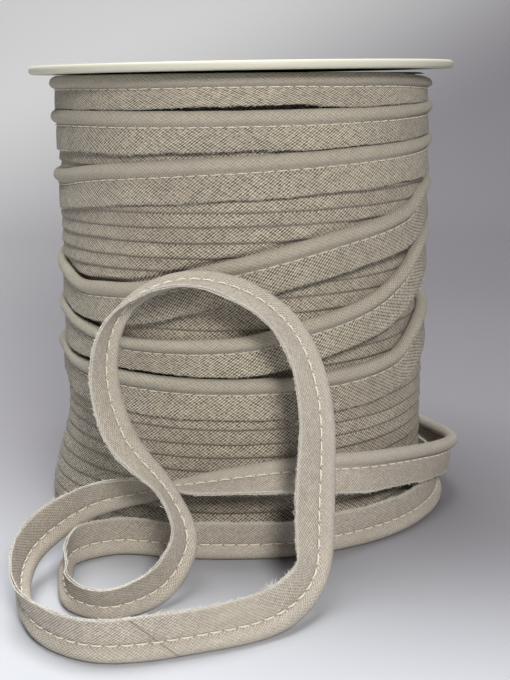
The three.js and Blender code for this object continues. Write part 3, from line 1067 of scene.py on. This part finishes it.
@dataclass
class OuterTurns:
    """The six loose outer turns.

    The tops are the height of the bead's top at each angle of winding, and the gaps are how far
    the raw edge there stays above the bead of the turn below. The raw edges flare outwards, but
    for the flat stretch round one angle.
    """

    piping: Piping
    bead_at: float = 62.1
    tops: Sequence[tuple[float, float]] = (
        (-100, 57.2), (-82, 58.2), (-75, 58.5), (-60, 57.0), (-38, 57.0), (-21, 56.9), (3, 57.0),
        (29, 57.9), (43, 59.0), (53, 60.7), (63, 65.5), (72, 69.0), (100, 73.5), (180, 76.5),
        (250, 75.5), (290, 72.8), (300, 70.8), (313, 68.9), (324, 68.0), (333, 68.2), (348, 69.0),
        (360, 70.2), (376, 74.1), (399, 79.7), (416, 87.1), (430, 95.0), (460, 99.5),
        (540, 98.0), (620, 90.5),
        (650, 86.5), (663, 83.7), (673, 84.3), (690, 85.9), (705, 90.3), (723, 95.0), (746, 100.6),
        (777, 106.3), (790, 111.5), (830, 116.5), (900, 117.5), (970, 117.3), (1010, 117.7),
        (1034, 120.5), (1062, 122.7), (1098, 124.7), (1155, 127.5), (1260, 133.0), (1372, 136.6),
        (1440, 136.6), (1515, 138.0), (1620, 143.0), (1730, 147.1), (1840, 147.1), (1870, 145.8),
        (1900, 144.0),
    )
    lift: float = 3.5
    lift_from: float = -100.0
    lift_to: float = -78.0
    dive: float = 3.4
    dive_from: float = 1874.0
    dive_to: float = 1898.0
    gaps: Sequence[tuple[float, float]] = (
        (-100, 0.3), (270, 0.9), (300, 1.6), (324, 1.2), (360, 0.9), (400, 0.7), (440, 0.9),
        (600, 0.4), (640, 1.5), (665, 1.8), (684, 2.3), (715, 2.3), (726, 0.9), (770, 0.5), (800, 0.9),
        (1300, 0.2), (1365, 0.9), (1379, 1.9), (1414, 2.1), (1442, 1.4), (1456, 0.5), (1480, 0.2),
        (1765, 0.1), (1781, 0.8), (1800, 1.4), (1816, 1.4), (1824, 0.5), (1835, 0.1), (1900, 0.1),
    )
    flare: float = 1.2
    flat_angle: float = -90.0
    flat_width: float = 24.0
    flat_share: float = 0.9
    step: float = 2.2

    def top(self, angle: np.ndarray) -> np.ndarray:
        """The height of the bead's top, smooth through the rows."""
        rows = np.array(self.tops, float)
        slope = np.gradient(rows[:, 1], rows[:, 0])
        slope[1:-1] = (rows[2:, 1] - rows[:-2, 1]) / (rows[2:, 0] - rows[:-2, 0])
        low = np.clip(np.searchsorted(rows[:, 0], angle) - 1, 0, len(rows) - 2)
        span = rows[low + 1, 0] - rows[low, 0]
        share = (angle - rows[low, 0]) / span
        rise = rows[low + 1, 1] - rows[low, 1]
        early, late = slope[low] * span, slope[low + 1] * span
        height = rows[low, 1] + share * early + share ** 2 * (3 * rise - 2 * early - late) \
            + share ** 3 * (early + late - 2 * rise)
        return np.minimum(height, ROLL_HEIGHT)

    def run(self) -> Run:
        """The run of the outer turns, its places a step apart."""
        start, end = self.tops[0][0], self.tops[-1][0]
        angle = np.linspace(start, end, int(end - start) + 1)
        top = self.top(angle)
        off = self.lift * (1 - smooth_step(angle, self.lift_from, self.lift_to)) \
            - self.dive * smooth_step(angle, self.dive_from, self.dive_to)
        bead = around(angle, self.bead_at + off, top - self.piping.bead_radius)
        below = np.where(angle < start + FULL_TURN, -np.inf, self.top(angle - FULL_TURN))
        gap = np.interp(angle, *np.array(self.gaps, float).T)
        room = np.minimum(top - self.piping.bead_radius - below - gap, self.piping.raw)
        down = np.stack([np.zeros_like(angle), np.zeros_like(angle), -np.ones_like(angle)], -1)
        flat = hump(turned_from(angle, self.flat_angle), self.flat_width)
        flare = self.flare * (1 - self.flat_share * flat)
        lean = down * self.piping.raw + outward(angle) * flare[:, None]
        return Run(bead, lean, self.piping.middle, room / self.piping.raw).spaced(self.step)

    def build(self) -> list[bpy.types.Object]:
        """Builds the outer turns.

        Returns:
            Their cloth, stitches and fibres.
        """
        hang = Hang(opening=(0.1, 0.08), ripple=0.14, ripple_length=70.0, unevenness=0.3, seed=31)
        maker = PipingMaker(self.piping, self.run(), hang)
        outer = 1.0 if np.dot(maker.run.face[5], maker.run.bead[5]) > 0 else -1.0
        pieces = [
            maker.cloth("outer_turns"),
            maker.stitches("outer_stitches", (outer,)),
            maker.fibres("outer_fibres", per_mm=0.7, longest=0.9),
        ]
        for piece in pieces:
            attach(piece, BODY)
        return pieces


@dataclass
class CloseTurns:
    """The close turns below: each strip's raw edge lies over the turn under it.

    Behind the outer turns they lie further in, by the recess at each height, which leaves the dark
    gaps between those turns. The lowest ones spread outwards round one angle, where their edges
    are calmer.
    """

    outer: OuterTurns
    ground: float = 61.55
    recesses: Sequence[tuple[float, float]] = (
        (65, 3.0), (67, 2.6), (71.5, 2.6), (74, 2.6), (90, 2.5), (108, 0.4), (131, 0.4), (134, 4.0),
    )
    slit: float = 0.6
    pitch: float = 4.45
    first: float = 0.65
    steps: int = 200
    under: tuple[float, float] = (1.5, 3.0)
    spread_reach: float = 8.0
    spread_angle: float = -88.0
    spread_width: float = 40.0
    spread_heights: tuple[float, float] = (2.0, 40.0)
    calm_share: float = 0.6
    calm_width: float = 60.0
    calm_heights: tuple[float, float] = (22.0, 45.0)

    def spread(self, angle: np.ndarray, height: np.ndarray) -> np.ndarray:
        """How far the lowest turns spread outwards."""
        side = hump(turned_from(angle, self.spread_angle), self.spread_width)
        return self.spread_reach * side * (1 - smooth_step(height, *self.spread_heights))

    def covered(self, angle: np.ndarray, height: np.ndarray) -> np.ndarray:
        """How far in a place lies, which is 0 in the open and more behind the outer turns."""
        face = turned_from(angle, 0.0)
        width = self.outer.piping.width
        first = np.where(face < self.outer.tops[0][0], face + FULL_TURN, face)
        low = self.outer.top(first) - width
        middle = self.outer.top(face + 2 * FULL_TURN) + self.slit
        high = self.outer.top(face + 3 * FULL_TURN) - width
        lower = smooth_step(height - low, *self.under) * (1 - smooth_step(height - middle, 0.0, 1.0))
        upper = smooth_step(height - high, *self.under)
        return np.maximum(lower, upper) * np.interp(height, *np.array(self.recesses, float).T)

    def build(self) -> bpy.types.Object:
        """Builds the close turns as one climbing strip.

        Returns:
            The mesh, with its places on the flat strip.
        """
        turns = int((ROLL_HEIGHT - self.first) / self.pitch) + 1
        angle = np.linspace(-HALF_TURN, -HALF_TURN + FULL_TURN * turns, self.steps * turns + 1)[:, None]
        length = np.radians(angle) * self.ground
        raw = self.first + self.pitch * angle / FULL_TURN
        raw = raw + wander(length, 0.35, 260.0, 5) + wander(length, 0.1, 21.0, 6)
        proud = 1.0 + wander(length, 0.22, 150.0, 8) + wander(length, 0.07, 17.0, 9)
        height = np.array([-0.5, -0.5, -0.1, 0.0, 0.22, 0.9, 1.7, 2.5, 3.3, 4.1, 4.9, 5.6])
        out = np.array([-0.5, 0.45, 0.5, 0.9, 1.0, 0.94, 0.8, 0.66, 0.48, 0.28, 0.05, -0.2])
        z = np.clip(raw + height, 0.0, ROLL_HEIGHT)
        calm = self.calm_share * hump(turned_from(angle, self.spread_angle), self.calm_width)
        proud = proud * (1 - calm * (1 - smooth_step(z, *self.calm_heights)))
        radius = self.ground + proud * out + self.spread(angle, z) - self.covered(angle, z)
        rings = around(angle + 0 * z, radius, z)
        place = np.stack(np.broadcast_arrays(length, height), -1)
        made = grid_object("close_turns", rings, place, crease=70.0)
        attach(made, BODY)
        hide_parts("wound_roll")
        return made


@dataclass
class EndFaces:
    """The roll's flat ends, where the turns show edge on."""

    radius: float = 61.3
    hollow: float = 2.0
    pitch: float = 2.1
    depth: float = 0.55
    rings: int = 180
    steps: int = 97

    def build(self) -> list[bpy.types.Object]:
        """Builds the two end faces.

        Returns:
            The bottom face and the top face.
        """
        turn = np.radians(np.linspace(0.0, FULL_TURN, self.steps))
        radius = np.linspace(self.hollow, self.radius, self.rings)[:, None]
        groove = self.depth * np.abs(np.sin(math.pi * (radius / self.pitch + turn / (2 * math.pi))))
        x, y = radius * np.cos(turn), radius * np.sin(turn)
        pieces = []
        for name, base, way in (("bottom_turns", 0.0, 1.0), ("top_turns", ROLL_HEIGHT, -1.0)):
            height = base + way * (self.depth - groove)
            spots = np.stack(np.broadcast_arrays(x, y, height), -1)
            place = np.stack(np.broadcast_arrays(radius * turn, radius), -1)
            piece = grid_object(name, spots, place)
            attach(piece, BODY)
            pieces.append(piece)
        return pieces


@dataclass
class TopDisc:
    """The thin round disc on top, with a rounded edge."""

    radius: float = 70.7
    thickness: float = 2.6
    edge: float = 1.1
    bottom: float = 147.85
    tilt: float = 0.35
    steps: int = 192

    def build(self) -> bpy.types.Object:
        """Builds the disc.

        Returns:
            The mesh.
        """
        profile = [(0.01, 0.0)]
        for base, start in ((self.edge, -90.0), (self.thickness - self.edge, 0.0)):
            for degrees in np.linspace(start, start + 90.0, 7):
                turn = math.radians(degrees)
                inset = self.radius - self.edge + self.edge * math.cos(turn)
                profile.append((inset, base + self.edge * math.sin(turn)))
        profile.append((0.01, self.thickness))
        turn = np.linspace(0.0, FULL_TURN, self.steps, endpoint=False)
        tilt = math.radians(self.tilt)
        rings = []
        for radius, height in profile:
            ring = around(turn, radius, height)
            x = ring[:, 0] * math.cos(tilt) - ring[:, 2] * math.sin(tilt)
            z = ring[:, 0] * math.sin(tilt) + ring[:, 2] * math.cos(tilt) + self.bottom
            rings.append(np.stack([x, ring[:, 1], z], -1))
        made = grid_object("disc_board", np.array(rings)[::-1], closed=True, capped=True, crease=40.0)
        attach(made, BODY)
        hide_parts("top_flange")
        return made


@dataclass
class Studio:
    """A pale floor that sweeps up behind the roll, and soft light.

    The floor darkens from the front towards the roll and to its right, and the backdrop lightens at its
    upper left: painted light and shade on the sheet. The reaches are where each colour takes over from
    the one before, in metres, and the leans are how much that place shifts with x.
    """

    floor_colour: Colour = (0.56, 0.575, 0.61)
    painted_floor_shade: Colour = (0.235, 0.226, 0.243)
    back_colour: Colour = (0.36, 0.345, 0.37)
    painted_light_colour: Colour = (0.92, 0.91, 0.90)
    painted_shade_reach: tuple[float, float] = (-0.155, 0.02)
    painted_shade_lean: float = 0.6
    back_reach: tuple[float, float] = (0.35, 0.85)
    painted_light_reach: tuple[float, float] = (0.0, 0.26)
    painted_light_lean: float = -0.4
    air_colour: Colour = (0.86, 0.9, 1.0)
    air_strength: float = 0.02
    near: float = -900.0
    bend_start: float = 640.0
    bend_radius: float = 400.0
    wall_top: float = 1500.0
    half_width: float = 1500.0

    def sweep(self) -> None:
        """Builds the floor and backdrop as one sheet."""
        bend = np.radians(np.linspace(0.0, 90.0, 17))
        y = np.concatenate([[self.near], self.bend_start + self.bend_radius * np.sin(bend),
                            [self.bend_start + self.bend_radius]])
        z = np.concatenate([[0.0], self.bend_radius * (1 - np.cos(bend)), [self.wall_top]])
        sides = np.array([-self.half_width, self.half_width])
        points = np.stack(np.broadcast_arrays(sides[None, :], y[:, None], z[:, None]), -1)
        made = grid_object("studio_sweep", points)
        finish = Finish("studio_paper")
        graph = finish.graph
        at = graph.node("TexCoord").outputs["Object"]
        axes = graph.node("SeparateXYZ", {0: at})
        # Painted shade: the floor darkens from the front towards the roll and to the right.
        along = graph.math("MULTIPLY_ADD", axes.outputs[0], self.painted_shade_lean, axes.outputs[1])
        far = graph.tint(graph.ease(axes.outputs[1], *self.back_reach), self.painted_floor_shade, self.back_colour)
        tone = graph.tint(graph.ease(along, *self.painted_shade_reach), self.floor_colour, far)
        # Painted light: a brighter patch on the backdrop's upper left.
        rise = graph.math("MULTIPLY_ADD", axes.outputs[0], self.painted_light_lean, axes.outputs[2])
        finish.set(Base_Color=graph.tint(graph.ease(rise, *self.painted_light_reach), tone, self.painted_light_colour))
        finish.set(Roughness=0.85)
        made.data.materials.append(finish.material)

    @staticmethod
    def lamp(name: str, place: tuple[float, float, float], aim: tuple[float, float, float], size: float,
             power: float, colour: Colour) -> None:
        """Adds a square soft light.

        Args:
            name: Its name.
            place: Where it is, in millimetres.
            aim: What it points at, in millimetres.
            size: Its side in millimetres.
            power: Its power in watts.
            colour: Its colour.
        """
        data = bpy.data.lights.new(name, "AREA")
        data.size, data.energy, data.color = size * MM, power, colour
        light = linked(name, data)
        light.location = Vector(place) * MM
        way = Vector(aim) - Vector(place)
        light.rotation_euler = way.to_track_quat("-Z", "Y").to_euler()

    def build(self) -> None:
        """Builds the sweep, the lights and the surrounding light."""
        self.sweep()
        self.lamp("key_light", (150, -720, 470), (0, -60, 60), 170, 4.7, (1.0, 0.985, 0.96))
        self.lamp("right_fill", (650, -450, 300), (0, -40, 50), 400, 0.2, (1.0, 0.99, 0.97))
        self.lamp("low_left_fill", (-420, -480, 70), (-30, -40, 50), 350, 0.35, (1.0, 1.0, 1.0))
        self.lamp("top_fill", (-100, 100, 900), (0, 0, 0), 700, 10.5, (0.97, 0.98, 1.0))
        world = bpy.data.worlds.new("studio_air")
        world.use_nodes = True
        air = world.node_tree.nodes["Background"].inputs
        air["Color"].default_value = (*self.air_colour, 1.0)
        air["Strength"].default_value = self.air_strength
        bpy.context.scene.world = world
        bpy.context.scene.view_settings.view_transform = "Standard"


def dress(pieces: Sequence[bpy.types.Object], material: bpy.types.Material) -> None:
    """Gives each piece its material."""
    for piece in pieces:
        piece.data.materials.clear()
        piece.data.materials.append(material)
        LOG.info("%s: %d faces, %s", piece.name, len(piece.data.polygons), material.name)


def main() -> None:
    """Builds the camera, the loose end, the roll, the disc and the studio."""
    logging.basicConfig(level=logging.INFO, format="%(name)s %(message)s")
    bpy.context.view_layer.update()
    ProductCamera().build()
    piping = Piping()
    loose = LooseTail(piping)
    tail, run = loose.build()
    turns = OuterTurns(piping)
    outer = turns.build()
    close = CloseTurns(turns).build()
    ends = EndFaces().build()
    disc = TopDisc()
    board = disc.build()

    effects = Effects()
    # Painted light and shade: the loose end's cotton is a paler copy of the roll's, with paler, shallower
    # pores, for the brighter light it gets.
    roll_cloth = ClothFinish("roll_cotton", (0.68, 0.61, 0.49), (0.03, 0.025, 0.018), (0.28, 0.25, 0.19),
                             piping.strip, mean=0.7)
    tail_cloth = ClothFinish("tail_cotton", (0.72, 0.655, 0.56), (0.17, 0.13, 0.095), (0.78, 0.75, 0.67),
                             piping.strip, wide=0.8, narrow=0.62, pore_depth=0.8, seam_crease_shade=0.5,
                             bead_calm=0.4, mean=0.74, shaded_start=110.0,
                             join=loose.station(run, loose.join_station) + piping.raw)
    # The dark edge colours of the roll and the close turns are a painted shadow line under each raw edge.
    # The loose end's pale one is its cut fibres.
    under_cloth = ClothFinish("under_cotton", (0.67, 0.60, 0.48), (0.03, 0.025, 0.018),
                              (0.16, 0.13, 0.095), 1e6, seam_crease_shade=0.0, bead_calm=0.0)
    thread = ThreadFinish("sewing_thread", (0.93, 0.88, 0.74))
    # Painted shade: the wound thread is a darker copy of the sewing thread, for the dimmer light on the
    # roll.
    wound_thread = ThreadFinish("wound_thread", (0.74, 0.68, 0.56))
    fibre = ThreadFinish("cut_fibres", (0.80, 0.77, 0.69), roughness=0.8)
    thread_look, fibre_look = thread.build(), fibre.build()
    roll_look = roll_cloth.build(effects)
    under_look = under_cloth.build(effects)
    dress(tail[:1], tail_cloth.build(effects))
    dress(outer[:1], roll_look)
    dress([close], under_look)
    dress(ends, under_look)
    dress([tail[1]], thread_look)
    dress([outer[1]], wound_thread.build())
    dress([tail[2], outer[2]], fibre_look)
    dress([board], BoardFinish().build(disc.radius))
    Studio().build()


if __name__ == "__main__":
    main()
